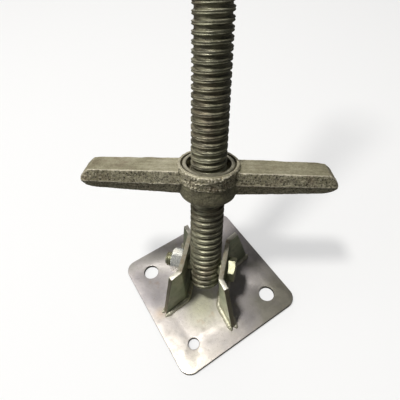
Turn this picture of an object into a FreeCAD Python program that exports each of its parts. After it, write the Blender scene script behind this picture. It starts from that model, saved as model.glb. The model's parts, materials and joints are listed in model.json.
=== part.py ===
import FreeCAD, Part
import math
import os

os.makedirs("parts", exist_ok=True)
V = FreeCAD.Vector

# Adjustable swivel base jack for frame scaffolding.
# Millimetres, +Z up, floor at Z = 0, plate centred on the origin.
# X runs along the pivot bolt; the screw tips about X.
IN = 25.4

# Base plate, set with one diagonal along the pivot bolt
PLATE_SIDE = 6.0 * IN
PLATE_T = 4.8
PLATE_CORNER_R = 13.0
HOLE_REACH = 71.8        # hole centres from the plate centre, along the diagonals
ANCHOR_HOLE_R = 8.75     # large holes, on the X diagonal
NAIL_HOLE_R = 6.0        # small holes, on the Y diagonal

# Pivot brackets, each bent from one flat blank
EAR_GAP = 39.0           # clear distance between the two middle panels
EAR_T = 4.8
EAR_H = 66.0
EAR_HALF_W = 23.0        # half width of the flat middle panel
WING_ANGLE = 38.0        # outward bend of each wing
WING_TOP = 11.5          # wing length at the top edge
WING_BOTTOM = 27.5       # wing length at the plate
WING_TOE = 4.0           # square toe at the foot of each wing
PIVOT_H = 44.5           # bolt axis above the plate
WELD_LEG = 4.0

# Pivot bolt, 5/8 in
BOLT_D = 5.0 / 8.0 * IN
BOLT_LEN = 2.75 * IN
HEX_AF = 15.0 / 16.0 * IN
HEAD_H = 9.9
NUT_H = 13.9
HEAD_TURN = 48.0         # how far the head is turned about the bolt
NUT_TURN = 0.0
BOLT_HOLE_R = 8.4        # holes in the brackets

# Screw, rolled round-crest thread, right hand
SCREW_R = 17.25
SCREW_ROOT_R = 15.25
SCREW_PITCH = IN / 3.5
SCREW_BELOW = 22.5       # screw end below the pivot
SCREW_TURNS = 84         # thread length in turns, about 24 in
CROSS_HOLE_R = 8.6
CREST_SHARE = 0.38       # share of the pitch taken by the crest
ROOT_SHARE = 0.28        # share of the pitch taken by the root
THREAD_SHIFT = 1.6       # where the crests fall along the screw
HELIX_POINTS = 36        # points that carry each turn of a helix

# Handle nut and its bearing ring, heights above the pivot along the screw
NUT_BOTTOM = 98.0
NUT_TOP = 132.2
SEAM_H = 116.2
NUT_R = 28.3
NUT_FOOT_R = 26.2
NUT_FOOT_H = 3.0
NUT_BORE_CLEAR = 0.35    # thread clearance on radius
NUT_FLANK_CLEAR = 0.30   # thread clearance along the axis, each flank
RIM_R = 30.0
RIM_FLARE_H = 8.0        # where the rim starts to flare, below the top
RIM_FACE_H = 3.5
SEAT_R = 26.9
SEAT_DEPTH = 5.0
WELL_R = 22.0
WELL_DEPTH = 5.0
RING_IN_R = 21.6
RING_OUT_R = 25.3
RING_H = 4.4
ARM_REACH = 121.5
ARM_NOSE = 9.5           # how far the arm tips slant back above and below
ARM_TOP_Z = 128.8
ARM_MID_Z = 116.0
ARM_LOW_Z = 100.6
ARM_TOP_HALF = 14.4
ARM_MID_HALF = 15.6
ARM_LOW_HALF = 9.2
ARM_TIP_SCALE = 0.88     # width of the arm at its tip
ARM_TIP_LIFT = 5.2       # rise of the arm's underside at its tip
ARM_TIP_DROP = 1.0       # fall of the arm's top at its tip
HANDLE_TURN = 11.0       # handle turned about the screw at rest

LEAN = 18.0              # screw tips back, towards +Y, at rest

PIVOT = V(0, 0, PLATE_T + PIVOT_H)
SCREW_LEN = SCREW_TURNS * SCREW_PITCH
THREAD_START = THREAD_SHIFT - SCREW_BELOW - 1.5 * SCREW_PITCH


def polygon_face(points):
    return Part.Face(Part.makePolygon(points + [points[0]]))


def hexagon(af, height, base, axis, turn):
    """Hexagonal prism with both outer corners turned off at 30 degrees."""
    r = af / math.sqrt(3.0)
    pts = []
    for i in range(6):
        a = math.radians(60.0 * i + turn)
        pts.append(V(r * math.cos(a), r * math.sin(a), 0))
    prism = polygon_face(pts).extrude(V(0, 0, height))
    drop = (r - af / 2.0) * math.tan(math.radians(30.0))
    dome = Part.makeCone(r + (height - drop) / math.tan(math.radians(30.0)), af / 2.0,
                         height, V(0, 0, 0), V(0, 0, 1))
    prism = prism.common(dome)
    prism.Placement = FreeCAD.Placement(base, FreeCAD.Rotation(V(0, 0, 1), axis))
    return prism


def base_plate():
    plate = Part.makeBox(PLATE_SIDE, PLATE_SIDE, PLATE_T, V(-PLATE_SIDE / 2, -PLATE_SIDE / 2, 0))
    corners = [e for e in plate.Edges if abs(e.Vertexes[0].Z - e.Vertexes[1].Z) > 1.0]
    plate = plate.makeFillet(PLATE_CORNER_R, corners)
    plate.rotate(V(0, 0, 0), V(0, 0, 1), 45)
    for sign in (-1, 1):
        plate = plate.cut(Part.makeCylinder(ANCHOR_HOLE_R, PLATE_T, V(sign * HOLE_REACH, 0, 0)))
        plate = plate.cut(Part.makeCylinder(NAIL_HOLE_R, PLATE_T, V(0, sign * HOLE_REACH, 0)))
    return plate


def bracket_at_plus_x():
    """Middle panel square to the bolt, wings bent away from the screw."""
    z0 = PLATE_T
    x_in = EAR_GAP / 2.0
    x_out = x_in + EAR_T
    ear = Part.makeBox(EAR_T, 2 * EAR_HALF_W, EAR_H, V(x_in, -EAR_HALF_W, z0))
    outline = [
        V(0, 0, 0),
        V(WING_BOTTOM, 0, 0),
        V(WING_BOTTOM, 0, WING_TOE),
        V(WING_TOP, 0, EAR_H),
        V(0, 0, EAR_H),
    ]
    for side in (-1, 1):
        # drawn along +X with its outer face at y = 0, then turned to run along Y
        wing = polygon_face(outline).extrude(V(0, side * EAR_T, 0))
        wing.rotate(V(0, 0, 0), V(0, 0, 1), side * (90 - WING_ANGLE))
        bend = Part.makeCylinder(EAR_T, EAR_H, V(0, 0, 0), V(0, 0, 1), WING_ANGLE)
        bend.rotate(V(0, 0, 0), V(0, 0, 1), 180 - (WING_ANGLE if side > 0 else 0))
        for piece in (wing, bend):
            piece.translate(V(x_out, side * EAR_HALF_W, z0))
            ear = ear.fuse(piece)
    ear = ear.removeSplitter()
    hole = Part.makeCylinder(BOLT_HOLE_R, EAR_T, V(x_in, 0, PIVOT.z), V(1, 0, 0))
    return ear.cut(hole)


def foot_path(face_x):
    """Plan points of the bracket foot along one of its faces."""
    a = math.radians(WING_ANGLE)
    run = WING_BOTTOM
    dx = run * math.sin(a)
    dy = run * math.cos(a)
    return [
        V(face_x + dx, -EAR_HALF_W - dy, PLATE_T),
        V(face_x, -EAR_HALF_W, PLATE_T),
        V(face_x, EAR_HALF_W, PLATE_T),
        V(face_x + dx, EAR_HALF_W + dy, PLATE_T),
    ]


def weld_bead(outward):
    """Fillet weld along one foot line of the bracket at +X."""
    a = math.radians(WING_ANGLE)
    pts = foot_path(EAR_GAP / 2.0 + EAR_T)
    if not outward:
        # the screw-side foot line, one thickness in from the outer one
        moved = []
        for i, p in enumerate(pts):
            side = -1 if i < 2 else 1
            if i in (0, 3):
                moved.append(V(p.x - EAR_T * math.cos(a), p.y + side * EAR_T * math.sin(a), p.z))
            else:
                moved.append(V(p.x - EAR_T, p.y + side * EAR_T * math.tan(a / 2.0), p.z))
        pts = moved
    sign = 1 if outward else -1
    solids = []
    for p, q in zip(pts[:-1], pts[1:]):
        run = q.sub(p)
        run.normalize()
        normal = V(run.y, -run.x, 0).multiply(sign)
        tri = [p, p.add(V(normal.x, normal.y, 0).multiply(WELD_LEG)), p.add(V(0, 0, WELD_LEG))]
        solids.append(polygon_face(tri).extrude(q.sub(p)))
    # mitre pieces close the two corners of the bead
    for i in (1, 2):
        p = pts[i]
        cone = Part.makeCone(WELD_LEG, 0, WELD_LEG, p)
        solids.append(cone)
    bead = solids[0]
    for s in solids[1:]:
        bead = bead.fuse(s)
    return bead.cut(bracket).removeSplitter()


def pivot_bolt():
    x_head = EAR_GAP / 2.0 + EAR_T
    shank = Part.makeCylinder(BOLT_D / 2, BOLT_LEN - 1.2, V(x_head, 0, PIVOT.z), V(-1, 0, 0))
    tip = Part.makeCone(BOLT_D / 2, BOLT_D / 2 - 1.2, 1.2,
                        V(x_head - BOLT_LEN + 1.2, 0, PIVOT.z), V(-1, 0, 0))
    head = hexagon(HEX_AF, HEAD_H, V(x_head, 0, PIVOT.z), V(1, 0, 0), HEAD_TURN)
    return head.fuse([shank, tip]).removeSplitter()


def pivot_nut():
    x_face = -(EAR_GAP / 2.0 + EAR_T)
    nut = hexagon(HEX_AF, NUT_H, V(x_face, 0, PIVOT.z), V(-1, 0, 0), NUT_TURN)
    return nut.cut(Part.makeCylinder(BOLT_D / 2, NUT_H, V(x_face, 0, PIVOT.z), V(-1, 0, 0)))


def thread_profile(grow_r, grow_z):
    """One pitch of the thread as points (radius, height), crest first."""
    crest = CREST_SHARE * SCREW_PITCH + 2 * grow_z
    root = ROOT_SHARE * SCREW_PITCH - 2 * grow_z
    flank = (SCREW_PITCH - crest - root) / 2.0
    steps = [(0.0, SCREW_R), (crest, SCREW_R), (flank, SCREW_ROOT_R),
             (root, SCREW_ROOT_R), (flank, SCREW_R)]
    points = []
    height = -crest / 2.0
    for step, radius in steps:
        height += step
        points.append((radius + grow_r, height))
    return points


def helix_turn(radius, z0):
    """One right-hand turn about Z, starting on the X axis."""
    points = []
    for i in range(HELIX_POINTS + 1):
        a = 2 * math.pi * i / HELIX_POINTS
        points.append(V(radius * math.cos(a), radius * math.sin(a), z0 + i * SCREW_PITCH / HELIX_POINTS))
    curve = Part.BSplineCurve()
    curve.interpolate(points)
    return curve.toShape()


def axis_turn(z0):
    return Part.makeLine(V(0, 0, z0), V(0, 0, z0 + SCREW_PITCH))


def helical_solid(turns, grow_r=0.0, grow_z=0.0):
    """Right-hand threaded bar of whole turns, with stepped helical ends."""
    profile = thread_profile(grow_r, grow_z)
    one_turn = []
    for (r0, z0), (r1, z1) in zip(profile[:-1], profile[1:]):
        one_turn.append(Part.makeRuledSurface(helix_turn(r0, z0), helix_turn(r1, z1)))
    faces = []
    for i in range(turns):
        for strip in one_turn:
            g = strip.copy()
            g.translate(V(0, 0, i * SCREW_PITCH))
            faces.append(g)
    r_edge, z_edge = profile[0]
    for level in (z_edge, z_edge + turns * SCREW_PITCH):
        faces.append(Part.makeRuledSurface(axis_turn(level), helix_turn(r_edge, level)))
        step = [V(0, 0, level)]
        step += [V(r, 0, z - z_edge + level) for r, z in profile]
        step.append(V(0, 0, level + SCREW_PITCH))
        faces.append(polygon_face(step))
    closed = Part.makeCompound(faces)
    closed.sewShape(0.002)
    solid = Part.makeSolid(closed.Shells[0])
    if solid.Volume < 0:
        solid.reverse()
    return solid


def lean(shape):
    shape.rotate(V(0, 0, 0), V(1, 0, 0), -LEAN)
    shape.translate(PIVOT)
    return shape


def screw():
    body = helical_solid(SCREW_TURNS + 3)
    body.translate(V(0, 0, THREAD_START))
    end = SCREW_ROOT_R - 0.4
    rise = SCREW_R + 1.0 - end
    low = -SCREW_BELOW
    high = low + SCREW_LEN
    blank = [V(0, 0, low), V(end, 0, low), V(end + rise, 0, low + rise),
             V(end + rise, 0, high - rise), V(end, 0, high), V(0, 0, high)]
    body = body.common(polygon_face(blank).revolve(V(0, 0, 0), V(0, 0, 1), 360))
    body = body.cut(Part.makeCylinder(CROSS_HOLE_R, 4 * SCREW_R, V(-2 * SCREW_R, 0, 0), V(1, 0, 0)))
    return lean(body)


def arm_section(x, scale, lift, drop):
    """Six-sided outline of the arm at distance x from the screw."""
    half = [
        (ARM_TOP_HALF * scale, ARM_TOP_Z - drop),
        (ARM_MID_HALF * scale, ARM_MID_Z),
        (ARM_LOW_HALF * scale, ARM_LOW_Z + lift),
    ]
    pts = [V(x, y, z) for y, z in half] + [V(x, -y, z) for y, z in reversed(half)]
    return Part.makePolygon(pts + [pts[0]])


def handle_nut():
    profile = [
        V(0, 0, NUT_BOTTOM),
        V(NUT_FOOT_R, 0, NUT_BOTTOM),
        V(NUT_R, 0, NUT_BOTTOM + NUT_FOOT_H),
        V(NUT_R, 0, SEAM_H),
        V(NUT_R + 0.6, 0, SEAM_H + 0.8),
        V(NUT_R + 0.6, 0, NUT_TOP - RIM_FLARE_H),
        V(RIM_R, 0, NUT_TOP - RIM_FACE_H),
        V(RIM_R, 0, NUT_TOP - 1.0),
        V(RIM_R - 1.0, 0, NUT_TOP),
        V(0, 0, NUT_TOP),
    ]
    body = polygon_face(profile).revolve(V(0, 0, 0), V(0, 0, 1), 360)
    arm = Part.makeLoft([arm_section(0.0, 1.0, 0.0, 0.0),
                         arm_section(ARM_REACH, ARM_TIP_SCALE, ARM_TIP_LIFT, ARM_TIP_DROP)], True, True)
    # pointed nose: the tip slants back above and below its widest line
    above = ARM_TOP_Z - ARM_MID_Z
    below = ARM_MID_Z - 4.0 - ARM_LOW_Z
    nose = [
        V(0, 0, ARM_LOW_Z - below),
        V(ARM_REACH - 2 * ARM_NOSE, 0, ARM_LOW_Z - below),
        V(ARM_REACH, 0, ARM_MID_Z - 4.0),
        V(ARM_REACH, 0, ARM_MID_Z),
        V(ARM_REACH - 2 * ARM_NOSE, 0, ARM_TOP_Z + above),
        V(0, 0, ARM_TOP_Z + above),
    ]
    trim = polygon_face(nose).extrude(V(0, 60, 0))
    trim.translate(V(0, -30, 0))
    arm = arm.common(trim)
    other = arm.copy()
    other.rotate(V(0, 0, 0), V(0, 0, 1), 180)
    body = body.fuse([arm, other]).removeSplitter()
    seat = Part.makeCylinder(SEAT_R, SEAT_DEPTH + 1, V(0, 0, NUT_TOP - SEAT_DEPTH))
    well = Part.makeCylinder(WELL_R, WELL_DEPTH + 1, V(0, 0, NUT_TOP - SEAT_DEPTH - WELL_DEPTH))
    body = body.cut(seat).cut(well)
    body.rotate(V(0, 0, 0), V(0, 0, 1), HANDLE_TURN)
    whole_turns = math.floor((NUT_BOTTOM - THREAD_START) / SCREW_PITCH) - 2
    tap = helical_solid(8, NUT_BORE_CLEAR, NUT_FLANK_CLEAR)
    tap.translate(V(0, 0, THREAD_START + whole_turns * SCREW_PITCH))
    body = body.cut(tap)
    return lean(body)


def bearing_ring():
    z0 = NUT_TOP - SEAT_DEPTH
    ring = Part.makeCylinder(RING_OUT_R, RING_H, V(0, 0, z0))
    ring = ring.cut(Part.makeCylinder(RING_IN_R, RING_H, V(0, 0, z0)))
    top = [e for e in ring.Edges if abs(e.BoundBox.ZMin - z0 - RING_H) < 0.01]
    return lean(ring.makeFillet(0.8, [e for e in top if len(e.Vertexes) == 1]))


def other_side(shape):
    return shape.mirror(V(0, 0, 0), V(1, 0, 0))


bracket = bracket_at_plus_x()
weld_outer = weld_bead(True)
weld_inner = weld_bead(False).cut(weld_outer)

nodes = {
    "base_plate": base_plate(),
    "bracket_right": bracket,
    "bracket_left": other_side(bracket),
    "weld_outer_right": weld_outer,
    "weld_outer_left": other_side(weld_outer),
    "weld_inner_right": weld_inner,
    "weld_inner_left": other_side(weld_inner),
    "pivot_bolt": pivot_bolt(),
    "pivot_nut": pivot_nut(),
    "screw": screw(),
    "handle_nut": handle_nut(),
    "bearing_ring": bearing_ring(),
}

for name, shape in nodes.items():
    shape.exportStep("parts/" + name + ".step")
    box = shape.BoundBox
    print(name, shape.isValid(), len(shape.Solids), round(shape.Volume, 1),
          [round(v, 1) for v in (box.XMin, box.XMax, box.YMin, box.YMax, box.ZMin, box.ZMax)])
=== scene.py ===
import json
import math

import bmesh
import bpy
from mathutils import Matrix, Vector, noise


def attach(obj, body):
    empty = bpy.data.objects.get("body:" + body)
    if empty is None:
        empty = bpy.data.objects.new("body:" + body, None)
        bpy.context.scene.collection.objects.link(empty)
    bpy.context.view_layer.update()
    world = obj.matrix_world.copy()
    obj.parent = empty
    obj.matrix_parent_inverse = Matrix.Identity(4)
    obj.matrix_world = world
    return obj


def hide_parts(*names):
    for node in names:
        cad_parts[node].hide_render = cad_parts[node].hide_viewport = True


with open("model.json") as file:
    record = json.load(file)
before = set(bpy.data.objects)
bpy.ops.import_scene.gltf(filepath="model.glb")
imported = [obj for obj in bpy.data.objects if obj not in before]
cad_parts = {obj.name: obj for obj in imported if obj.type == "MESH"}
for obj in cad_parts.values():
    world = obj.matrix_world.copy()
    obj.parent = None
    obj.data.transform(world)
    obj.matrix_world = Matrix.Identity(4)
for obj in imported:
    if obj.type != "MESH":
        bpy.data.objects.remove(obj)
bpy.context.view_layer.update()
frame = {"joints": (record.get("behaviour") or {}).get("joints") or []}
MM = 0.001
INCH = 25.4
TAU = 2 * math.pi


# ---------------------------------------------------------------- dimensions, millimetres
PLATE_SIDE = 152.4
PLATE_T = 4.8
PLATE_CORNER_R = 13.0
PLATE_EDGE_R = 0.7
HOLE_REACH = 71.8                 # from the plate's centre to each hole
ANCHOR_R = 8.75
NAIL_R = 6.0

EAR_X = 19.5                      # from the centre to a bracket's face on the screw side
EAR_T = 4.8
EAR_OUT = EAR_X + EAR_T
EAR_H = 66.0
EAR_HALF = 23.0                   # half the width of a bracket's middle panel
EAR_HOLE_R = 8.4
EAR_EDGE_R = 0.7
BEND_R = 2.2                      # inside radius of the bends between the panel and its wings
WING_ANGLE = math.radians(38)
WING_TOP = 11.5                   # a wing's length at its top and at its foot
WING_BOTTOM = 27.5
WING_TOE = 4.0                    # height left at a wing's outer end
PIVOT_H = 44.5                    # from the plate's top to the bolt's axis

BEAD_R = 3.3                      # weld bead
BEAD_STEP = 0.55
BEAD_WRAP = 3.0                   # how far a bead runs past the end of a wing
BEAD_SIDES = 14
BEAD_RIPPLE = 2.1                 # spacing of the ripples along a bead

HEX_AF = 23.81
HEAD_H = 9.9
NUT_H = 13.9
NUT_BORE_R = 7.2
HEAD_SPIN = math.radians(18)
NUT_SPIN = math.radians(30)
BOLT_R = 7.94
BOLT_LEN = 69.85
BOLT_PITCH = INCH / 11
BOLT_ROOT = 6.75
BOLT_THREAD_H = 1.19
BOLT_THREAD_LOW = 44.0            # where the bolt's thread begins under the head
BOLT_SHANK_LEN = 46.0

SCREW_R = 17.25
SCREW_ROOT = 15.25
PITCH = INCH / 3.5
SCREW_LOW = -22.5
SCREW_TURNS = 84
THREAD_SHIFT = 1.6
CROSS_HOLE_R = 8.6

NUT_LOW = 98.0                    # heights of the handle nut, along the screw from the bolt's axis
NUT_TOP = 132.2
SEAM = 116.2
NUT_R = 28.3
RIM_R = 30.0
BORE_R = 17.65
SEAT_R = 26.9                     # the recess that the ring sits in, and the well under it
SEAT_DEPTH = 5.0
WELL_R = 22.0
WELL_DEPTH = 5.0
RING_IN = 21.6
RING_OUT = 25.3
RING_H = 4.4

ARM_REACH = 121.5
ARM_TOP = (14.4, 128.8)           # half width and height of the arm's three edges at the collar
ARM_WAIST = (15.6, 116.0)
ARM_FOOT = (9.2, 100.6)
# along the arm: distance from the screw, width scale, rise of the foot, drop of the top
ARM_STATIONS = ((0.0, 1.0, 0.0, 0.0), (60.0, 0.95, 2.4, 0.4), (ARM_REACH - 15, 0.90, 4.6, 0.9))
# at the nose: distance back from the tip, then top, waist and foot
ARM_NOSE = ((8.5, (12.5, 127.4), (13.7, 116.0), (7.9, 105.8)),
            (3.6, (11.9, 123.4), (13.2, 115.2), (7.7, 107.4)),
            (0.2, (10.6, 118.2), (11.8, 113.8), (7.6, 110.4)))
HANDLE_TURN = math.radians(11)
PARTING_Z = 115.8                 # height of the mould's parting line

VOXEL = 0.62    # size of the casting's remesh

# the screw's own frame: the bolt's axis at the origin, +Z up the screw
joints = {j["name"]: j for j in frame["joints"]}
pivot = Vector(joints["base_swivel"]["pos_m"])
screw_axis = Vector(joints["nut_travel"]["axis"]).normalized()
lean = math.atan2(screw_axis.y, screw_axis.z)
SCREW_FRAME = Matrix.Translation(pivot) @ Matrix.Rotation(-lean, 4, "X")
NUT_FRAME = SCREW_FRAME @ Matrix.Rotation(HANDLE_TURN, 4, "Z")


# ---------------------------------------------------------------- small helpers
def smooth(a, b, x):
    """0 below a, 1 above b and an even curve between."""
    t = min(1.0, max(0.0, (x - a) / (b - a)))
    return t * t * (3 - 2 * t)


def fractal(p, size, octaves, seed):
    """Fractal noise at a point in millimetres; it gives the same value on every run."""
    q = Vector(p) / size + Vector((seed, seed * 1.7, -seed))
    return noise.fractal(q, 0.9, 2.1, octaves)


def bell(x, width):
    """1 at x = 0, falling away smoothly on both sides."""
    return math.exp(-(x / width) ** 2)


def make_mesh(name, verts, faces):
    """A mesh from points in millimetres."""
    me = bpy.data.meshes.new(name)
    me.from_pydata([Vector(v) * MM for v in verts], [], faces)
    me.validate()
    return me


def recalc(me):
    """Turn all faces to point outwards."""
    bm = bmesh.new()
    bm.from_mesh(me)
    bmesh.ops.recalc_face_normals(bm, faces=bm.faces)
    bm.to_mesh(me)
    bm.free()


def put(name, data):
    """A new object, linked into the scene."""
    ob = bpy.data.objects.new(name, data)
    bpy.context.collection.objects.link(ob)
    return ob


def add(node, me, body, material, sharp, matrix=None):
    """The visible piece that stands for a CAD node and rides on its body."""
    recalc(me)
    me.shade_smooth()
    me.set_sharp_from_angle(angle=math.radians(sharp))
    ob = put(f"{node}_visual", me)
    if matrix is not None:
        ob.matrix_world = matrix
    me.materials.clear()
    me.materials.append(material)
    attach(ob, body)
    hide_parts(node)


def with_modifiers(me, setups):
    """The mesh after a list of (type, settings) modifiers."""
    ob = put("work", me)
    for i, (kind, settings) in enumerate(setups):
        m = ob.modifiers.new(f"m{i}", kind)
        for key, value in settings.items():
            setattr(m, key, value)
    bpy.context.view_layer.update()
    graph = bpy.context.evaluated_depsgraph_get()
    out = bpy.data.meshes.new_from_object(ob.evaluated_get(graph))
    bpy.data.objects.remove(ob)
    return out


def cut(me, tools, operation="DIFFERENCE"):
    """Boolean of a mesh with other meshes."""
    objs = []
    setups = []
    for i, tool in enumerate(tools):
        recalc(tool)
        ob = put(f"tool{i}", tool)
        objs.append(ob)
        setups.append(("BOOLEAN", {"operation": operation, "object": ob, "solver": "EXACT"}))
    recalc(me)
    out = with_modifiers(me, setups)
    for ob in objs:
        bpy.data.objects.remove(ob)
    return out


def lathe(name, profile, segments, closed=False):
    """Turned mesh about Z from (radius, height) points; an open profile gets a flat cap at each end."""
    verts = []
    faces = []
    n = len(profile)
    for i in range(segments):
        a = TAU * i / segments
        for r, z in profile:
            verts.append((r * math.cos(a), r * math.sin(a), z))
    last = n if closed else n - 1
    for i in range(segments):
        j = (i + 1) % segments
        for k in range(last):
            m = (k + 1) % n
            faces.append((i * n + k, j * n + k, j * n + m, i * n + m))
    if not closed:
        faces.append([i * n for i in range(segments)][::-1])
        faces.append([i * n + n - 1 for i in range(segments)])
    return make_mesh(name, verts, faces)


def rod(radius, x0, x1, z):
    """Plain cylinder along X, used as a cutting tool."""
    me = lathe("rod", [(radius, x0), (radius, x1)], 64)
    me.transform(Matrix.Translation((0, 0, z * MM)) @ Matrix.Rotation(math.radians(90), 4, "Y"))
    return me


# ---------------------------------------------------------------- material helpers
def new_material(name):
    """A new material with its node tree, its shader and its object coordinates."""
    m = bpy.data.materials.new(name)
    m.use_nodes = True
    nt = m.node_tree
    nt.nodes.clear()
    out = nt.nodes.new("ShaderNodeOutputMaterial")
    bsdf = nt.nodes.new("ShaderNodeBsdfPrincipled")
    nt.links.new(bsdf.outputs["BSDF"], out.inputs["Surface"])
    coord = nt.nodes.new("ShaderNodeTexCoord")
    return m, nt, bsdf, coord.outputs["Object"]


def feed(nt, socket, value):
    """Link a socket to an output, or set it to a number or a colour."""
    if hasattr(value, "is_output"):
        nt.links.new(value, socket)
    elif isinstance(value, (int, float)):
        socket.default_value = value
    else:
        socket.default_value = (*value, 1.0)


def noise_node(nt, vector, size, detail, rough, distortion=0.0):
    """Noise whose patches are about size millimetres."""
    n = nt.nodes.new("ShaderNodeTexNoise")
    n.inputs["Scale"].default_value = 1000.0 / size
    n.inputs["Detail"].default_value = detail
    n.inputs["Roughness"].default_value = rough
    n.inputs["Distortion"].default_value = distortion
    nt.links.new(vector, n.inputs["Vector"])
    return n.outputs["Fac"]


def grey(a):
    return (a, a, a)


def ramp(nt, value, stops):
    """Colour ramp through (position, colour) stops."""
    r = nt.nodes.new("ShaderNodeValToRGB")
    elements = r.color_ramp.elements
    while len(elements) < len(stops):
        elements.new(0.5)
    for element, (position, colour) in zip(elements, stops):
        element.position = position
        element.color = (*colour, 1.0)
    nt.links.new(value, r.inputs["Fac"])
    return r.outputs["Color"]


def fade(nt, value, low, high, start=0.0, end=1.0):
    """Grey ramp: start where the value is low or less, end where it is high or more."""
    return ramp(nt, value, [(low, grey(start)), (high, grey(end))])


def mix(nt, factor, a, b, blend="MIX"):
    """Colour a with colour b blended over it by factor."""
    m = nt.nodes.new("ShaderNodeMix")
    m.data_type = "RGBA"
    m.blend_type = blend
    for name, value in (("Factor", factor), ("A", a), ("B", b)):
        feed(nt, m.inputs[name], value)
    return m.outputs["Result"]


def maths(nt, op, *values):
    """One Math node on outputs or numbers."""
    m = nt.nodes.new("ShaderNodeMath")
    m.operation = op
    for socket, value in zip(m.inputs, values):
        feed(nt, socket, value)
    return m.outputs[0]


def components(nt, vector):
    """X, Y and Z of a vector."""
    s = nt.nodes.new("ShaderNodeSeparateXYZ")
    nt.links.new(vector, s.inputs[0])
    return s.outputs["X"], s.outputs["Y"], s.outputs["Z"]


def normal_of(nt, co):
    """X, Y and Z of the surface normal in the object's own space."""
    return components(nt, co.node.outputs["Normal"])


def past(nt, coordinate, gain, level):
    """gain times how far a coordinate in metres is past a level in millimetres."""
    return maths(nt, "MULTIPLY_ADD", coordinate, gain, -gain * level * MM)


def length(nt, a, b):
    """Length of a pair of components."""
    squares = [maths(nt, "MULTIPLY", v, v) for v in (a, b)]
    return maths(nt, "SQRT", maths(nt, "ADD", *squares))


def stretched(nt, vector, scale, turn=0.0):
    """Coordinates scaled on each axis and turned about Z, for drawn-out noise."""
    m = nt.nodes.new("ShaderNodeMapping")
    m.inputs["Scale"].default_value = scale
    m.inputs["Rotation"].default_value = (0, 0, turn)
    nt.links.new(vector, m.inputs["Vector"])
    return m.outputs["Vector"]


def edge_wear_and_highlight(nt, low, high):
    """0 on flats, 1 on convex edges, which are worn and carry a painted highlight."""
    g = nt.nodes.new("ShaderNodeNewGeometry")
    return fade(nt, g.outputs["Pointiness"], low, high)


def dress(nt, bsdf, colour, roughness, metallic, layers):
    """Connect colour, roughness and a chain of bump layers: (height, strength, distance in mm)."""
    nt.links.new(colour, bsdf.inputs["Base Color"])
    nt.links.new(roughness, bsdf.inputs["Roughness"])
    bsdf.inputs["Metallic"].default_value = metallic
    normal = None
    for height, strength, distance in layers:
        b = nt.nodes.new("ShaderNodeBump")
        b.inputs["Strength"].default_value = strength
        b.inputs["Distance"].default_value = distance * MM
        nt.links.new(height, b.inputs["Height"])
        if normal is not None:
            nt.links.new(normal, b.inputs["Normal"])
        normal = b.outputs["Normal"]
    nt.links.new(normal, bsdf.inputs["Normal"])


# ---------------------------------------------------------------- materials
def zinc(name, tones, rough, metallic, scale, relief=1.0, extra=None):
    """Zinc plating in cloudy cool, middle and warm tones, with dark blotches, scratches and pits."""
    cool, middle, warm, dark = tones
    m, nt, bsdf, co = new_material(name)
    clouds = noise_node(nt, co, 42 * scale, 3, 0.5, 0.6)
    colour = ramp(nt, clouds, [(0.30, cool), (0.50, middle), (0.68, warm)])
    blotch = noise_node(nt, co, 9 * scale, 6, 0.7)
    colour = mix(nt, fade(nt, blotch, 0.50, 0.78, 0, 0.55), colour, dark)
    grain = noise_node(nt, co, 1.6, 4, 0.6)
    colour = mix(nt, 0.22, colour, fade(nt, grain, 0.35, 0.7, 0.35, 1), "MULTIPLY")
    if extra:
        colour = extra(nt, co, blotch, colour)
    scratch = noise_node(nt, stretched(nt, co, (1, 14, 1), 0.6), 7, 3, 0.6)
    waves = noise_node(nt, co, 26, 2, 0.5)
    pits = fade(nt, noise_node(nt, co, 2.2, 5, 0.65), 0.28, 0.46)
    dress(nt, bsdf, colour, fade(nt, blotch, 0.3, 0.75, *rough), metallic,
          [(waves, 0.5 * relief, 1.2), (pits, 0.35 * relief, 0.25), (scratch, 0.25 * relief, 0.15)])
    return m


def bracket_edges(nt, co, blotch, colour):
    """Painted shade on the slanted edges of the wings, a painted highlight along the wing tops and a
    browner, rusty top on the middle panel.
    """
    # painted shade: faces turned along Y, which are the slanted edges and ends of the wings, are
    # darkened
    sheared_edge_shade = fade(nt, maths(nt, "ABSOLUTE", normal_of(nt, co)[1]), 0.66, 0.73, 0, 0.85)
    colour = mix(nt, sheared_edge_shade, colour, (0.115, 0.095, 0.062))
    # along the top: rusty brown on the middle panel, and a painted highlight in pale cream on the wing
    # tops
    _, y, z = components(nt, co)
    top = fade(nt, past(nt, z, 500.0, PLATE_T + EAR_H - 0.9), 0.0, 0.35)
    wing = fade(nt, past(nt, maths(nt, "ABSOLUTE", y), 200.0, EAR_HALF), 0.0, 0.6)
    brown = mix(nt, fade(nt, blotch, 0.40, 0.62), (0.40, 0.38, 0.31), (0.26, 0.205, 0.145))
    edge = mix(nt, wing, brown, (0.88, 0.84, 0.74))
    return mix(nt, maths(nt, "MULTIPLY", top, 0.85), colour, edge)


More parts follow.
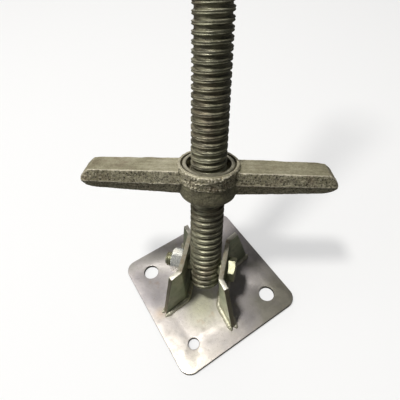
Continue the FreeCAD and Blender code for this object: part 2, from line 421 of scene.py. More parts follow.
def plate_material():
    """Zinc plating on the base plate: lilac grey behind, cream in front, stained and freckled; the paler
    front is partly painted sheen, and painted shade darkens the +X side and the plate's edges.
    """
    m, nt, bsdf, co = new_material("zinc_plate")
    x, y, z = components(nt, co)
    clouds = noise_node(nt, co, 46, 4, 0.55, 0.8)
    drift = maths(nt, "MULTIPLY_ADD", clouds, 1.2, -0.55)
    # lilac grey behind and paler cream in front: partly the plating's tint, partly a painted sheen where
    # the key light reflects off the front
    lilac = ramp(nt, clouds, [(0.30, (0.37, 0.345, 0.355)), (0.5, (0.49, 0.455, 0.455)),
                              (0.7, (0.47, 0.455, 0.41))])
    cream = ramp(nt, clouds, [(0.30, (0.53, 0.50, 0.435)), (0.5, (0.625, 0.575, 0.52)),
                              (0.7, (0.62, 0.60, 0.52))])
    front = maths(nt, "ADD", maths(nt, "MULTIPLY_ADD", y, -9.0, 0.02), drift)
    colour = mix(nt, fade(nt, front, 0.25, 0.85), lilac, cream)

    # yellow-green stain in front of the screw
    spread = length(nt, maths(nt, "MULTIPLY", x, 38.0), past(nt, y, 30.0, -30.0))
    stain = fade(nt, maths(nt, "ADD", spread, drift), 0.35, 1.15, 0.8, 0)
    colour = mix(nt, stain, colour, (0.52, 0.515, 0.365))

    # olive and darker towards +X: partly the plating's tint, partly painted shade where the light falls
    # off
    right = maths(nt, "ADD", maths(nt, "MULTIPLY", x, 11.0), maths(nt, "MULTIPLY", drift, 0.5))
    colour = mix(nt, fade(nt, right, 0.38, 1.0, 0, 0.95), colour, (0.19, 0.18, 0.145))

    # blotches, dark specks and rust freckles
    blotch = noise_node(nt, co, 8, 7, 0.72)
    colour = mix(nt, fade(nt, blotch, 0.50, 0.80, 0, 0.6), colour, (0.26, 0.24, 0.20))
    specks = fade(nt, noise_node(nt, co, 1.3, 3, 0.6), 0.64, 0.72, 0, 0.7)
    colour = mix(nt, specks, colour, (0.20, 0.16, 0.10))
    rust = fade(nt, noise_node(nt, co, 14, 6, 0.7), 0.60, 0.74)
    colour = mix(nt, maths(nt, "MULTIPLY", rust, 0.45), colour, (0.40, 0.24, 0.12))

    # rust bleeding from the toe of the -X bracket
    bleed = length(nt, past(nt, x, 110.0, -45.0), past(nt, y, 110.0, -48.0))
    halo = fade(nt, maths(nt, "ADD", bleed, drift), 0.2, 1.0, 0.4, 0)
    colour = mix(nt, halo, colour, (0.60, 0.44, 0.29))

    # painted shade on the plate's sides, below the rounded top edge
    rim = fade(nt, past(nt, z, -1000.0, PLATE_T - PLATE_EDGE_R), 0.0, 0.5, 0, 0.85)
    colour = mix(nt, rim, colour, (0.10, 0.095, 0.075))

    waves = noise_node(nt, co, 34, 2, 0.5)
    pits = fade(nt, noise_node(nt, co, 1.8, 5, 0.65), 0.28, 0.46)
    rolled = noise_node(nt, stretched(nt, co, (16, 1, 1), math.radians(45)), 9, 3, 0.6)
    dress(nt, bsdf, colour, fade(nt, blotch, 0.3, 0.75, 0.34, 0.56), 0.60,
          [(waves, 0.45, 1.5), (pits, 0.35, 0.22), (rolled, 0.18, 0.15)])
    return m


def screw_material():
    """Weathered zinc on a rolled thread: dirt in the roots, rubbed crests with a painted highlight,
    brown staining.
    """
    m, nt, bsdf, co = new_material("screw_steel")
    x, y, _ = components(nt, co)
    above_root = maths(nt, "SUBTRACT", length(nt, x, y), SCREW_ROOT * MM)
    lift = maths(nt, "MULTIPLY", above_root, 1.0 / ((SCREW_R - SCREW_ROOT) * MM))
    clouds = noise_node(nt, co, 22, 5, 0.6, 0.5)
    crest = ramp(nt, clouds, [(0.32, (0.250, 0.248, 0.160)), (0.5, (0.345, 0.338, 0.230)),
                              (0.7, (0.470, 0.455, 0.330))])
    root = ramp(nt, clouds, [(0.35, (0.170, 0.162, 0.100)), (0.65, (0.290, 0.272, 0.175))])
    stain = fade(nt, noise_node(nt, co, 34, 5, 0.65), 0.46, 0.66, 0, 0.75)
    crest = mix(nt, stain, crest, (0.205, 0.155, 0.105))
    root = mix(nt, stain, root, (0.215, 0.165, 0.108))
    dirt = noise_node(nt, co, 3.0, 5, 0.7)
    level = maths(nt, "ADD", lift, maths(nt, "MULTIPLY_ADD", dirt, 0.6, -0.30))
    colour = mix(nt, fade(nt, level, 0.10, 0.70), root, crest)

    # metal rubbed bright on the crests, with a painted highlight along their lips
    rub_and_highlight = maths(nt, "MULTIPLY", fade(nt, lift, 0.96, 1.02), fade(nt, dirt, 0.38, 0.60, 0.1, 0.9))
    colour = mix(nt, rub_and_highlight, colour, (0.74, 0.70, 0.55))

    streak = noise_node(nt, stretched(nt, co, (1.0, 1.0, 0.12)), 5, 4, 0.6)
    colour = mix(nt, 0.55, colour, fade(nt, streak, 0.34, 0.64, 0.5, 1), "MULTIPLY")
    freckle = fade(nt, noise_node(nt, co, 1.1, 4, 0.65), 0.36, 0.62, 0.45, 1)
    colour = mix(nt, 0.5, colour, freckle, "MULTIPLY")

    # rolling marks run round with the thread
    marks = noise_node(nt, stretched(nt, co, (0.10, 0.10, 1.0)), 1.3, 4, 0.6)
    colour = mix(nt, 0.85, colour, fade(nt, marks, 0.38, 0.56, 0.22, 1.0), "MULTIPLY")

    pits = noise_node(nt, co, 1.2, 5, 0.7)
    lumps = noise_node(nt, co, 4.5, 4, 0.6)
    dress(nt, bsdf, colour, fade(nt, dirt, 0.3, 0.7, 0.30, 0.55), 0.45,
          [(lumps, 0.5, 0.6), (marks, 0.7, 0.5), (pits, 0.45, 0.25)])
    return m


def casting_material():
    """Rough galvanised casting: grainy sides with painted glints, smoother tops, painted shade below and
    on the collar under the arms, lighter where rubbed, with a painted highlight on the edges.
    """
    m, nt, bsdf, co = new_material("nut_casting")
    clouds = noise_node(nt, co, 30, 5, 0.6, 0.4)
    base = ramp(nt, clouds, [(0.32, (0.300, 0.275, 0.175)), (0.5, (0.420, 0.390, 0.265)),
                             (0.7, (0.560, 0.525, 0.385))])
    normal_z = normal_of(nt, co)[2]
    side = fade(nt, normal_z, 0.60, 0.88, 1, 0.22)
    # painted shade: faces turned downwards are darkened
    under = fade(nt, maths(nt, "MULTIPLY", normal_z, -1.0), 0.15, 0.55, 0, 0.55)
    grain = noise_node(nt, co, 2.2, 6, 0.72)
    pits = fade(nt, grain, 0.40, 0.53, 0.06, 1)
    colour = mix(nt, maths(nt, "MULTIPLY", side, 0.95), base, pits, "MULTIPLY")
    # painted glints: bright specks on the grainy sides
    sparkle = fade(nt, noise_node(nt, co, 1.6, 4, 0.7), 0.53, 0.62, 0, 0.85)
    colour = mix(nt, maths(nt, "MULTIPLY", sparkle, side), colour, (0.66, 0.60, 0.46))
    drag = noise_node(nt, stretched(nt, co, (0.10, 1.0, 1.0)), 4.0, 4, 0.6)
    drag_tone = ramp(nt, drag, [(0.36, (0.50, 0.48, 0.42)), (0.60, grey(1))])
    colour = mix(nt, 0.5, colour, drag_tone, "MULTIPLY")
    colour = mix(nt, under, colour, (0.085, 0.082, 0.055))
    # worn edges rubbed lighter, with a painted highlight along them
    rub_and_highlight = maths(nt, "MULTIPLY", edge_wear_and_highlight(nt, 0.507, 0.54), 0.75)
    colour = mix(nt, rub_and_highlight, colour, (0.70, 0.65, 0.52))
    brown = fade(nt, noise_node(nt, co, 17, 5, 0.65), 0.52, 0.72, 0, 0.55)
    colour = mix(nt, brown, colour, (0.190, 0.135, 0.085))

    # painted shade under the arms: the collar is darker and greener below its seam, mottled
    x, y, z = components(nt, co)
    low = fade(nt, past(nt, z, -250.0, SEAM + 1.5), 0.0, 0.5, 0, 0.8)
    near = fade(nt, past(nt, length(nt, x, y), -250.0, NUT_R + 2.5), 0.0, 0.3)
    mottle = noise_node(nt, co, 12, 5, 0.65)
    shade = ramp(nt, mottle, [(0.36, (0.075, 0.068, 0.044)), (0.52, (0.140, 0.132, 0.082)),
                              (0.68, (0.230, 0.220, 0.130))])
    colour = mix(nt, maths(nt, "MULTIPLY", low, near), colour, shade)

    sand = noise_node(nt, co, 1.5, 5, 0.7)
    dress(nt, bsdf, colour, fade(nt, grain, 0.3, 0.7, 0.70, 0.40), 0.45,
          [(grain, 0.85, 1.0), (sand, 0.7, 0.45)])
    return m


def weld_material():
    """Plated weld metal with patches of rust."""
    m, nt, bsdf, co = new_material("weld")
    clouds = noise_node(nt, co, 9, 5, 0.65)
    colour = ramp(nt, clouds, [(0.32, (0.30, 0.29, 0.20)), (0.52, (0.52, 0.50, 0.39)),
                               (0.7, (0.78, 0.75, 0.64))])
    rust = fade(nt, noise_node(nt, co, 11, 5, 0.7), 0.58, 0.72, 0, 0.6)
    colour = mix(nt, rust, colour, (0.38, 0.20, 0.09))
    dress(nt, bsdf, colour, fade(nt, clouds, 0.3, 0.7, 0.34, 0.58), 0.65,
          [(noise_node(nt, co, 1.6, 5, 0.65), 0.5, 0.35)])
    return m


# tones are cool, middle, warm and dark; rough runs from clean metal to blotches
ZINC_PLATE = plate_material()
ZINC_BRACKET = zinc("zinc_bracket",
                    ((0.26, 0.30, 0.21), (0.37, 0.405, 0.285), (0.47, 0.47, 0.34), (0.16, 0.16, 0.11)),
                    rough=(0.34, 0.54), metallic=0.70, scale=0.7, extra=bracket_edges)
BOLT_ZINC = zinc("bolt_zinc",
                 ((0.28, 0.285, 0.205), (0.35, 0.345, 0.235), (0.42, 0.40, 0.265), (0.14, 0.135, 0.09)),
                 rough=(0.34, 0.50), metallic=0.72, scale=0.35, relief=0.35)
NUT_ZINC = zinc("nut_zinc",
                ((0.46, 0.48, 0.48), (0.64, 0.64, 0.60), (0.80, 0.78, 0.70), (0.20, 0.20, 0.16)),
                rough=(0.22, 0.34), metallic=0.88, scale=0.35, relief=0.25)
RING_STEEL = zinc("ring_steel",
                  ((0.18, 0.17, 0.12), (0.30, 0.28, 0.21), (0.40, 0.37, 0.28), (0.08, 0.07, 0.05)),
                  rough=(0.40, 0.60), metallic=0.6, scale=0.35)
SCREW_STEEL = screw_material()
CASTING = casting_material()
WELD = weld_material()


# ---------------------------------------------------------------- base plate
def rounded_square():
    """Outline of the plate, turned so that its corners lie on the X and Y axes."""
    inset = PLATE_SIDE / 2 - PLATE_CORNER_R
    steps = 12
    outline = []
    for side_x, side_y, start in ((1, 1, 0), (-1, 1, 90), (-1, -1, 180), (1, -1, 270)):
        for i in range(steps + 1):
            a = math.radians(start + 90 * i / steps)
            outline.append((side_x * inset + PLATE_CORNER_R * math.cos(a),
                            side_y * inset + PLATE_CORNER_R * math.sin(a)))
    c = math.cos(math.radians(45))
    s = math.sin(math.radians(45))
    return [(x * c - y * s, x * s + y * c) for x, y in outline]


def hole_outline(cx, cy, r):
    """Circle run the other way round from the plate's outline."""
    turns = [-TAU * i / 48 for i in range(48)]
    return [(cx + r * math.cos(a), cy + r * math.sin(a)) for a in turns]


def plate():
    """Flat plate with its four holes and rounded edges, filled from curves."""
    cu = bpy.data.curves.new("plate", "CURVE")
    cu.dimensions = "2D"
    cu.fill_mode = "BOTH"
    cu.extrude = (PLATE_T / 2 - PLATE_EDGE_R) * MM
    cu.bevel_depth = PLATE_EDGE_R * MM
    cu.bevel_resolution = 3
    cu.offset = -PLATE_EDGE_R * MM
    holes = ((HOLE_REACH, 0, ANCHOR_R), (-HOLE_REACH, 0, ANCHOR_R),
             (0, HOLE_REACH, NAIL_R), (0, -HOLE_REACH, NAIL_R))
    for points in [rounded_square()] + [hole_outline(*hole) for hole in holes]:
        spline = cu.splines.new("POLY")
        spline.points.add(len(points) - 1)
        for p, (x, y) in zip(spline.points, points):
            p.co = (x * MM, y * MM, 0, 1)
        spline.use_cyclic_u = True
    ob = put("plate_curve", cu)
    graph = bpy.context.evaluated_depsgraph_get()
    me = bpy.data.meshes.new_from_object(ob.evaluated_get(graph))
    bpy.data.objects.remove(ob)
    bm = bmesh.new()
    bm.from_mesh(me)
    bmesh.ops.remove_doubles(bm, verts=bm.verts, dist=1e-6)
    bmesh.ops.translate(bm, verts=bm.verts, vec=(0, 0, PLATE_T / 2 * MM))
    bm.to_mesh(me)
    bm.free()
    return me


add("base_plate", plate(), "base", ZINC_PLATE, sharp=50)


# ---------------------------------------------------------------- brackets
def foot_line(bend_steps):
    """Concave face of the +X bracket in plan: points, turn angles and distances past the bend."""
    reach = BEND_R * math.tan(WING_ANGLE / 2)
    half = []
    for i in range(7):
        half.append((EAR_OUT, (EAR_HALF - reach) * i / 6, 0.0, 0.0))
    for i in range(1, bend_steps + 1):
        a = WING_ANGLE * i / bend_steps
        x = EAR_OUT + BEND_R * (1 - math.cos(a))
        y = EAR_HALF - reach + BEND_R * math.sin(a)
        half.append((x, y, a, reach * 2 * i / bend_steps - reach))
    ux = math.sin(WING_ANGLE)
    uy = math.cos(WING_ANGLE)
    for d in (WING_TOP * 0.5, WING_TOP, 14, 17, 20, 23, 25.5, WING_BOTTOM):
        half.append((EAR_OUT + d * ux, EAR_HALF + d * uy, WING_ANGLE, d))
    mirrored = [(x, -y, -a, d) for x, y, a, d in half[:0:-1]]
    return mirrored + half


def ear_height(d):
    """Height of a bracket at a distance past the bend: level, then sloping down the wing."""
    if d <= WING_TOP:
        return EAR_H
    return EAR_H - (EAR_H - WING_TOE) * (d - WING_TOP) / (WING_BOTTOM - WING_TOP)


def bracket(sign):
    """Bent bracket on the side given by sign: both faces in rows, then ends, foot and top."""
    line = foot_line(8)
    rows = 14
    verts = []
    faces = []
    for depth in (0, EAR_T):
        for x, y, a, d in line:
            for k in range(rows + 1):
                z = PLATE_T + ear_height(d) * k / rows
                verts.append(((x - math.cos(a) * depth) * sign, y + math.sin(a) * depth, z))
    n = len(line)
    c = rows + 1
    block = n * c
    for i in range(n - 1):
        for k in range(rows):
            a = i * c + k
            faces.append((a, a + c, a + c + 1, a + 1))
            b = block + a
            faces.append((b, b + 1, b + c + 1, b + c))
    for k in range(rows):
        for i in (0, n - 1):
            a = i * c + k
            faces.append((a, a + 1, block + a + 1, block + a))
    for i in range(n - 1):
        for k in (0, rows):
            a = i * c + k
            faces.append((a, a + c, block + a + c, block + a))
    me = make_mesh("bracket", verts, faces)
    me = cut(me, [rod(EAR_HOLE_R, sign * (EAR_X - 3), sign * (EAR_OUT + 3), PLATE_T + PIVOT_H)])
    bevel = {"width": EAR_EDGE_R * MM, "segments": 3, "limit_method": "ANGLE",
             "angle_limit": math.radians(50)}
    return with_modifiers(me, [("BEVEL", bevel)])


SIDES = (("right", 1), ("left", -1))
for side, sign in SIDES:
    add(f"bracket_{side}", bracket(sign), "base", ZINC_BRACKET, sharp=40)


# ---------------------------------------------------------------- weld beads
def bead_path(inner):
    """Points along one foot of the +X bracket, run on a little past both wings."""
    depth = EAR_T if inner else 0.0
    corners = []
    for x, y, a, _ in foot_line(6):
        corners.append(Vector((x - math.cos(a) * depth, y + math.sin(a) * depth, 0)))
    for end, before in ((0, 1), (-1, -2)):
        corners[end] = corners[end] + (corners[end] - corners[before]).normalized() * BEAD_WRAP
    points = []
    for p, q in zip(corners[:-1], corners[1:]):
        n = max(1, int(round((q - p).length / BEAD_STEP)))
        points += [p.lerp(q, i / n) for i in range(n)]
    points.append(corners[-1])
    return points


def weld(sign, inner, seed):
    """Convex rippled bead laid along one foot of a bracket."""
    points = bead_path(inner)
    count = len(points)
    verts = []
    faces = []
    for i, p in enumerate(points):
        along = (points[min(i + 2, count - 1)] - points[max(i - 2, 0)]).normalized()
        out = Vector((along.y, -along.x, 0))
        if inner:
            out = -out
        run = i * BEAD_STEP
        end = min(i, count - 1 - i) * BEAD_STEP
        swell = math.sqrt(max(0.0, min(1.0, (end + 0.3) / 7.0)))
        wander = fractal((run, seed * 9, 0), 7.0, 3, seed)
        ripple = 0.16 * abs(math.sin(math.pi * run / BEAD_RIPPLE + wander))
        ripple += 0.12 * fractal((run, 0, seed), 2.0, 2, seed)
        r = (BEAD_R + 0.6 * wander + ripple) * swell
        centre = p + out * (0.7 + 0.25 * wander)
        for k in range(BEAD_SIDES):
            a = TAU * k / BEAD_SIDES
            q = centre + out * (r * 1.06 * math.cos(a))
            z = max(0.25, PLATE_T + 0.4 + r * 0.98 * math.sin(a))
            verts.append((q.x * sign, q.y, z))
    for i in range(count - 1):
        row = i * BEAD_SIDES
        after = row + BEAD_SIDES
        for k in range(BEAD_SIDES):
            m = (k + 1) % BEAD_SIDES
            faces.append((row + k, row + m, after + m, after + k))
    faces.append(list(range(BEAD_SIDES)))
    faces.append([(count - 1) * BEAD_SIDES + k for k in range(BEAD_SIDES)][::-1])
    return make_mesh("weld", verts, faces)


for side, sign in SIDES:
    add(f"weld_outer_{side}", weld(sign, False, 3.1 + sign), "base", WELD, sharp=60)
    add(f"weld_inner_{side}", weld(sign, True, 7.7 + sign), "base", WELD, sharp=60)


# ---------------------------------------------------------------- threads
def worn(r, ca, sa, z, wear, seed):
    """A radius of the screw with small dents, deepest on the crests, and broad unevenness."""
    fine = fractal((r * ca, r * sa, z), 5.0, 3, seed)
    broad = fractal((r * ca, r * sa, z), 40.0, 2, seed + 3)
    top = smooth(SCREW_ROOT, SCREW_R, r)
    r = r + wear * (fine * (0.4 + 0.6 * top) + 0.5 * broad)
    return min(r, SCREW_R + 0.12)


def helical_bar(profile, pitch, low, high, end_r, segments, shift=0.0, wear=0.0, seed=0.0):
    """Solid right-hand threaded bar about Z; profile is (share of pitch, radius) over one pitch."""
    turns = int(math.ceil((high - low) / pitch)) + 3
    start = low - 1.5 * pitch + shift
    n = len(profile)
    total = turns * segments + 1
    verts = []
    faces = []
    for i in range(total):
        a = TAU * (i % segments) / segments
        rise = start + pitch * i / segments
        ca = math.cos(a)
        sa = math.sin(a)
        for share, r in profile:
            z = rise + share * pitch
            if wear:
                r = worn(r, ca, sa, z, wear, seed)
            # chamfer both ends down to end_r
            r = min(r, max(end_r + min(z - low, high - z), end_r))
            verts.append((r * ca, r * sa, z))
    for i in range(total - 1):
        for k in range(n - 1):
            a = i * n + k
            faces.append((a, a + n, a + n + 1, a + 1))
    me = make_mesh("thread", verts, faces)
    bm = bmesh.new()
    bm.from_mesh(me)
    bmesh.ops.remove_doubles(bm, verts=bm.verts, dist=1e-6)
    for z, up in ((low, -1), (high, 1)):
        geom = bm.verts[:] + bm.edges[:] + bm.faces[:]
        bmesh.ops.bisect_plane(bm, geom=geom, dist=1e-7, plane_co=(0, 0, z * MM),
                               plane_no=(0, 0, up), clear_outer=True)
        rim = [e for e in bm.edges
               if e.is_boundary and all(abs(v.co.z - z * MM) < 2e-6 for v in e.verts)]
        bmesh.ops.holes_fill(bm, edges=rim, sides=0)
    bmesh.ops.recalc_face_normals(bm, faces=bm.faces)
    bm.to_mesh(me)
    bm.free()
    return me


def screw_profile():
    """Broad rolled crests with a lip on each side of a shallow fold, and a rounded root."""
    root = 0.28
    crest = 0.19                  # half the crest's width, as a share of the pitch
    flank = (1 - 2 * crest - root) / 2
    shape = [(-crest - flank, 0.0), (-crest - flank * 0.5, 0.40), (-crest - flank * 0.1, 0.82),
             (-crest + 0.02, 0.95), (-crest + 0.06, 0.97), (-crest + 0.10, 0.88),
             (-0.04, 0.76), (0.04, 0.76),
             (crest - 0.10, 0.86), (crest - 0.055, 1.0), (crest - 0.01, 1.0),
             (crest + flank * 0.12, 0.86), (crest + flank * 0.5, 0.36), (crest + flank, 0.02),
             (crest + flank + root * 0.5, -0.04), (1 - crest - flank, 0.0)]
    return [(share, SCREW_ROOT + (SCREW_R - SCREW_ROOT) * height) for share, height in shape]


def drop_slivers(me):
    """Clear the tiny faces that the cross hole leaves on the thread's strips."""
    bm = bmesh.new()
    bm.from_mesh(me)
    bmesh.ops.dissolve_degenerate(bm, dist=2e-6, edges=bm.edges)
    bmesh.ops.triangulate(bm, faces=[f for f in bm.faces if len(f.verts) > 4])
    bmesh.ops.dissolve_degenerate(bm, dist=2e-6, edges=bm.edges)
    bm.to_mesh(me)
    bm.free()


def screw():
    """Threaded bar with the cross hole for the pivot bolt."""
    high = SCREW_LOW + SCREW_TURNS * PITCH
    me = helical_bar(screw_profile(), PITCH, SCREW_LOW, high, end_r=SCREW_ROOT - 0.4, segments=72,
                     shift=THREAD_SHIFT, wear=0.10, seed=2.0)
    me = cut(me, [rod(CROSS_HOLE_R, -30, 30, 0)])
    drop_slivers(me)
    return me


add("screw", screw(), "screw", SCREW_STEEL, sharp=60, matrix=SCREW_FRAME)


# ---------------------------------------------------------------- pivot bolt and nut
def hex_radius(a, across_flats):
    """Distance from a hexagon's centre to its side in direction a."""
    b = (a + math.pi / 6) % (math.pi / 3) - math.pi / 6
    return across_flats / 2 / math.cos(b)


def hex_piece(height, both_ends, bore=0.0):
    """Hexagon with turned-off corners at the top or at both ends; the base sits at height 0."""
    segments = 144
    full = HEX_AF / math.sqrt(3)
    slope = math.tan(math.radians(30))
    levels = [0.0, 0.25, 0.6, 1.1, 1.8,
              height - 2.1, height - 1.5, height - 1.0, height - 0.6, height - 0.3, height - 0.1, height]
    verts = []
    faces = []
    for i in range(segments):
        a = TAU * i / segments
        side = hex_radius(a, HEX_AF)
        side -= 0.12 * smooth(0.93, 1.0, side / full)
        for z in levels:
            top = HEX_AF / 2 * 0.985 + (height - z) / slope
            low = HEX_AF / 2 * 0.985 + z / slope if both_ends else full + 1
            r = min(side, top, low)
            if z == height:
                r -= 0.15
            verts.append((r * math.cos(a), r * math.sin(a), z))
    n = len(levels)
    for i in range(segments):
        j = (i + 1) % segments
        for k in range(n - 1):
            faces.append((i * n + k, j * n + k, j * n + k + 1, i * n + k + 1))
    if bore:
        base = len(verts)
        hole = [(bore + 0.7, 0.0), (bore, 0.7), (bore, height - 0.7), (bore + 0.7, height)]
        for i in range(segments):
            a = TAU * i / segments
            for r, z in hole:
                verts.append((r * math.cos(a), r * math.sin(a), z))
        for i in range(segments):
            j = (i + 1) % segments
            here = base + i * 4
            there = base + j * 4
            for k in range(3):
                faces.append((here + k, here + k + 1, there + k + 1, there + k))
            faces.append((i * n, here, there, j * n))
            faces.append((i * n + n - 1, j * n + n - 1, there + 3, here + 3))
    else:
        faces.append([i * n for i in range(segments)][::-1])
        faces.append([i * n + n - 1 for i in range(segments)])
    return make_mesh("hexagon", verts, faces)


def join(meshes):
    """Several meshes as one, left overlapping."""
    bm = bmesh.new()
    for me in meshes:
        bm.from_mesh(me)
    out = bpy.data.meshes.new("joined")
    bm.to_mesh(out)
    bm.free()
    return out


def across(x, sign):
    """Takes a piece built along +Z to the bolt's axis, pointing to +X or -X from x."""
    turn = Matrix.Rotation(math.radians(90 * sign), 4, "Y")
    return Matrix.Translation((x * MM, 0, (PLATE_T + PIVOT_H) * MM)) @ turn


def pivot_bolt():
    """Head against the +X bracket, shank through both, thread at the -X end."""
    head = hex_piece(HEAD_H, False)
    head.transform(across(EAR_OUT, 1) @ Matrix.Rotation(HEAD_SPIN, 4, "Z"))
    shank = lathe("shank", [(BOLT_R, -0.5), (BOLT_R, BOLT_SHANK_LEN)], 48)
    shank.transform(across(EAR_OUT, -1))
    shape = [(-0.42, 0.0), (-0.06, 1.0), (0.06, 1.0), (0.42, 0.0), (0.58, 0.0)]
    profile = [(share, BOLT_ROOT + BOLT_THREAD_H * height) for share, height in shape]
    thread = helical_bar(profile, BOLT_PITCH, BOLT_THREAD_LOW, BOLT_LEN, end_r=6.3, segments=40)
    thread.transform(across(EAR_OUT, -1))
    return join([head, shank, thread])


def pivot_nut():
    """Nut against the -X bracket."""
    nut = hex_piece(NUT_H, True, NUT_BORE_R)
    nut.transform(across(-EAR_OUT, -1) @ Matrix.Rotation(NUT_SPIN, 4, "Z"))
    return nut


add("pivot_bolt", pivot_bolt(), "base", BOLT_ZINC, sharp=30)
add("pivot_nut", pivot_nut(), "base", NUT_ZINC, sharp=30)


# ---------------------------------------------------------------- handle nut
def arm_ring(x, edges):
    """Six points round the arm: top, waist and foot on one side, then the same mirrored."""
    return [(x, y, z) for y, z in edges] + [(x, -y, z) for y, z in reversed(edges)]


def arm():
    """One arm, from the screw's axis out to its tapered nose."""
    rings = []
    for x, scale, lift, drop in ARM_STATIONS:
        rings.append(arm_ring(x, [(ARM_TOP[0] * scale, ARM_TOP[1] - drop),
                                  (ARM_WAIST[0] * scale, ARM_WAIST[1]),
                                  (ARM_FOOT[0] * scale, ARM_FOOT[1] + lift)]))
    for inset, *edges in ARM_NOSE:
        rings.append(arm_ring(ARM_REACH - inset, edges))
    verts = [p for ring in rings for p in ring]
    faces = []
    for i in range(len(rings) - 1):
        for k in range(6):
            m = (k + 1) % 6
            faces.append((i * 6 + k, i * 6 + m, (i + 1) * 6 + m, (i + 1) * 6 + k))
    faces.append(list(range(6)))
    b = (len(rings) - 1) * 6
    faces.append((b, b + 1, b + 4, b + 5))
    faces.append((b + 1, b + 2, b + 3, b + 4))
    return make_mesh("arm", verts, faces)


def nut_blank():
    """Collar and both arms as one body, bored, and recessed for the bearing ring."""
    collar = lathe("collar", [
        (25.6, NUT_LOW), (27.0, NUT_LOW + 0.8), (27.9, NUT_LOW + 2.2), (NUT_R, NUT_LOW + 4.5),
        (NUT_R, SEAM), (NUT_R + 0.6, SEAM + 0.8), (NUT_R + 0.6, NUT_TOP - 8),
        (NUT_R + 1.2, NUT_TOP - 5.5), (RIM_R, NUT_TOP - 3.5), (RIM_R, NUT_TOP - 1.1),
        (RIM_R - 1.0, NUT_TOP)], 128)
    left = arm()
    right = arm()
    left.transform(Matrix.Rotation(math.pi, 4, "Z"))
    body = cut(collar, [right, left], "UNION")
    seat = NUT_TOP - SEAT_DEPTH
    well = seat - WELL_DEPTH
    recess = lathe("recess", [(BORE_R, NUT_LOW - 8), (BORE_R, well), (WELL_R, well + 0.01),
                              (WELL_R, seat), (SEAT_R, seat + 0.01), (SEAT_R, NUT_TOP + 8)], 128)
    return cut(body, [recess])


def sand_and_scar(p, r):
    """Sandy lumps above the seam, heaviest on the -Y side, where the metal ran over the lip."""
    facing = max(0.0, -p.y / r)
    zone = smooth(SEAM - 0.8, SEAM + 0.8, p.z) * (1 - smooth(NUT_TOP - 1.5, NUT_TOP, p.z))
    cell = noise.voronoi(Vector((p.x, p.y, p.z)) / 2.9)[0][0]
    lump = max(0.0, 0.6 - cell) * 1.9 + 0.5 * max(0.0, fractal(p, 3.5, 4, 11.0))
    line = p.z - (124.8 + 0.25 * (p.x + 7) + 0.7 * fractal(p, 5.0, 2, 6.0))
    reach = smooth(-14, -8, p.x) * (1 - smooth(17, 22, p.x))
    ridge = bell(line, 0.9) * reach
    lip = smooth(0.0, 1.5, line) * reach
    return zone * lump * (0.25 + 1.0 * facing ** 2) + zone * facing ** 2 * (1.7 * ridge + 0.7 * lip)


def casting_relief(p, normal):
    """How far a point of the casting stands out along its normal, in millimetres."""
    r = math.hypot(p.x, p.y)
    side = 1 - smooth(0.55, 0.85, abs(normal.z))
    clear_of_bore = smooth(19.5, 22.0, r)
    share = 1.0 if r > SEAT_R + 0.8 else 0.3
    rough = 0.10 * fractal(p, 2.2, 3, 1.0) + 0.24 * fractal(p, 9.0, 3, 5.0)
    rough += side * (0.24 * fractal(p, 4.0, 4, 8.0) + 0.20 * fractal(p, 2.2, 3, 8.0))
    move = rough * clear_of_bore * share
    if r > 30.5:
        # parting line of the mould along the arms
        move += 0.45 * bell(p.z - PARTING_Z - 0.3 * fractal(p, 14, 2, 2.0), 0.6)
    if 27.4 < r < 31.5 and abs(p.x) < 29.0 and p.z > SEAM - 1.5:
        move += sand_and_scar(p, r)
        # broken bead round the seam
        move += 0.45 * bell(p.z - SEAM - 0.4, 0.7) * max(0.0, 0.5 + fractal(p, 4.0, 2, 9.0))
    return move


def handle_nut():
    """The casting: remeshed, softened, then given its sandy skin."""
    me = with_modifiers(nut_blank(), [("REMESH", {"mode": "VOXEL", "voxel_size": VOXEL * MM}),
                                      ("SMOOTH", {"factor": 0.5, "iterations": 6})])
    recalc(me)
    me.update()
    normals = [v.normal.copy() for v in me.vertices]
    for v, normal in zip(me.vertices, normals):
        v.co += normal * casting_relief(v.co / MM, normal) * MM
    return me


add("handle_nut", handle_nut(), "nut", CASTING, sharp=70, matrix=NUT_FRAME)


# ---------------------------------------------------------------- bearing ring
def bearing_ring():
    """Ring in the recess of the handle nut, slightly uneven on top."""
    z0 = NUT_TOP - SEAT_DEPTH
    z1 = z0 + RING_H
    profile = [(RING_IN + 0.3, z0), (RING_IN, z0 + 0.3), (RING_IN, z1 - 0.7), (RING_IN + 0.2, z1 - 0.2),
               (RING_IN + 0.7, z1), (RING_OUT - 0.7, z1), (RING_OUT - 0.2, z1 - 0.2),
               (RING_OUT, z1 - 0.7), (RING_OUT, z0 + 0.3), (RING_OUT - 0.3, z0)]
    me = lathe("ring", profile, 160, closed=True)
    for v in me.vertices:
        p = v.co / MM
        v.co.z += 0.06 * fractal(p, 6, 2, 4.0) * MM * smooth(z0 + 1, z1, p.z)
    return me


add("bearing_ring", bearing_ring(), "ring", RING_STEEL, sharp=40, matrix=SCREW_FRAME)


# ---------------------------------------------------------------- stage and light
def camera_ray_pick(nt, lit, seen, socket):
    """One shader for the rays that come straight from the camera, another for all the others."""
    rays = nt.nodes.new("ShaderNodeLightPath")
    pick = nt.nodes.new("ShaderNodeMixShader")
    nt.links.new(rays.outputs["Is Camera Ray"], pick.inputs[0])
    nt.links.new(lit, pick.inputs[1])
    nt.links.new(seen, pick.inputs[2])
    nt.links.new(pick.outputs[0], socket)


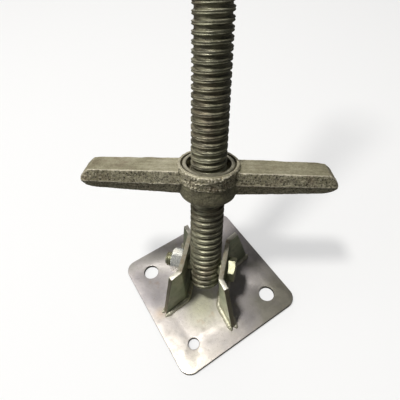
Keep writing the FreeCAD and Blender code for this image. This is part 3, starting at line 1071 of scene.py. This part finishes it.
def stage_floor():
    """Square floor, 8 m wide."""
    half = 4000
    corners = [(-half, -half, 0), (half, -half, 0), (half, half, 0), (-half, half, 0)]
    me = make_mesh("floor", corners, [(0, 1, 2, 3)])
    ob = put("floor", me)
    m, nt, bsdf, _ = new_material("floor_white")
    bsdf.inputs["Base Color"].default_value = (0.90, 0.90, 0.90, 1)
    bsdf.inputs["Roughness"].default_value = 0.9
    # seen directly the floor is pale with a faint shadow; as a bounce card it is dull
    glow = nt.nodes.new("ShaderNodeEmission")
    glow.inputs["Color"].default_value = (0.97, 0.97, 0.97, 1)
    pale = nt.nodes.new("ShaderNodeMixShader")
    pale.inputs[0].default_value = 0.6
    nt.links.new(bsdf.outputs[0], pale.inputs[1])
    nt.links.new(glow.outputs[0], pale.inputs[2])
    dull = nt.nodes.new("ShaderNodeBsdfDiffuse")
    dull.inputs["Color"].default_value = (0.22, 0.22, 0.21, 1)
    surface = nt.nodes["Material Output"].inputs["Surface"]
    camera_ray_pick(nt, dull.outputs[0], pale.outputs[0], surface)
    me.materials.append(m)


def pale_world():
    """Dim fill light, seen as a pale backdrop."""
    world = bpy.data.worlds.new("world")
    world.use_nodes = True
    nt = world.node_tree
    fill = nt.nodes["Background"]
    fill.inputs["Color"].default_value = (1, 1, 1, 1)
    fill.inputs["Strength"].default_value = 0.10
    backdrop = nt.nodes.new("ShaderNodeBackground")
    backdrop.inputs["Color"].default_value = (1, 1, 1, 1)
    backdrop.inputs["Strength"].default_value = 0.95
    surface = nt.nodes["World Output"].inputs["Surface"]
    camera_ray_pick(nt, fill.outputs[0], backdrop.outputs[0], surface)
    bpy.context.scene.world = world
    bpy.context.scene.view_settings.view_transform = "Standard"
    bpy.context.scene.view_settings.look = "None"


def area(name, place, target, size, power, colour):
    """Round soft light at a place, aimed at a target."""
    light = bpy.data.lights.new(name, "AREA")
    light.shape = "DISK"
    light.size = size
    light.energy = power
    light.color = colour
    ob = put(name, light)
    ob.location = place
    ob.rotation_mode = "QUATERNION"
    ob.rotation_quaternion = (Vector(target) - Vector(place)).to_track_quat("-Z", "Y")
    ob.visible_camera = False


stage_floor()
area("key", (-0.52, -0.24, 2.25), (0, 0, 0.1), size=0.30, power=42, colour=(1.0, 0.985, 0.95))
area("left", (-2.1, -1.0, 1.35), (0, 0, 0.2), size=2.6, power=30, colour=(1.0, 0.99, 0.96))
area("back", (-0.8, 2.6, 0.9), (0, 0, 0.15), size=1.6, power=15, colour=(1.0, 0.98, 0.94))
pale_world()


# ---------------------------------------------------------------- camera
CAMERA_AT = Vector((0.05573, -0.18825, 0.41899))
AZIMUTH = math.radians(16.451)
ELEVATION = math.radians(47.341)
ROLL = math.radians(-5.015)


def turned_camera():
    """The camera's rotation from its azimuth, elevation and roll."""
    back = Vector((math.sin(AZIMUTH) * math.cos(ELEVATION), -math.cos(AZIMUTH) * math.cos(ELEVATION),
                   math.sin(ELEVATION)))
    right = Vector((0, 0, 1)).cross(back).normalized()
    up = back.cross(right)
    rolled_right = right * math.cos(ROLL) + up * math.sin(ROLL)
    rolled_up = up * math.cos(ROLL) - right * math.sin(ROLL)
    return Matrix((rolled_right, rolled_up, back)).transposed().to_quaternion()


cam = bpy.data.cameras.new("camera")
cam.lens = 32.25
cam.sensor_width = 36
cam.shift_x = 0.0064
cam.shift_y = -0.0721
cam.clip_start = 0.01
camera = put("camera", cam)
camera.rotation_mode = "QUATERNION"
camera.rotation_quaternion = turned_camera()
camera.location = CAMERA_AT
bpy.context.scene.camera = camera
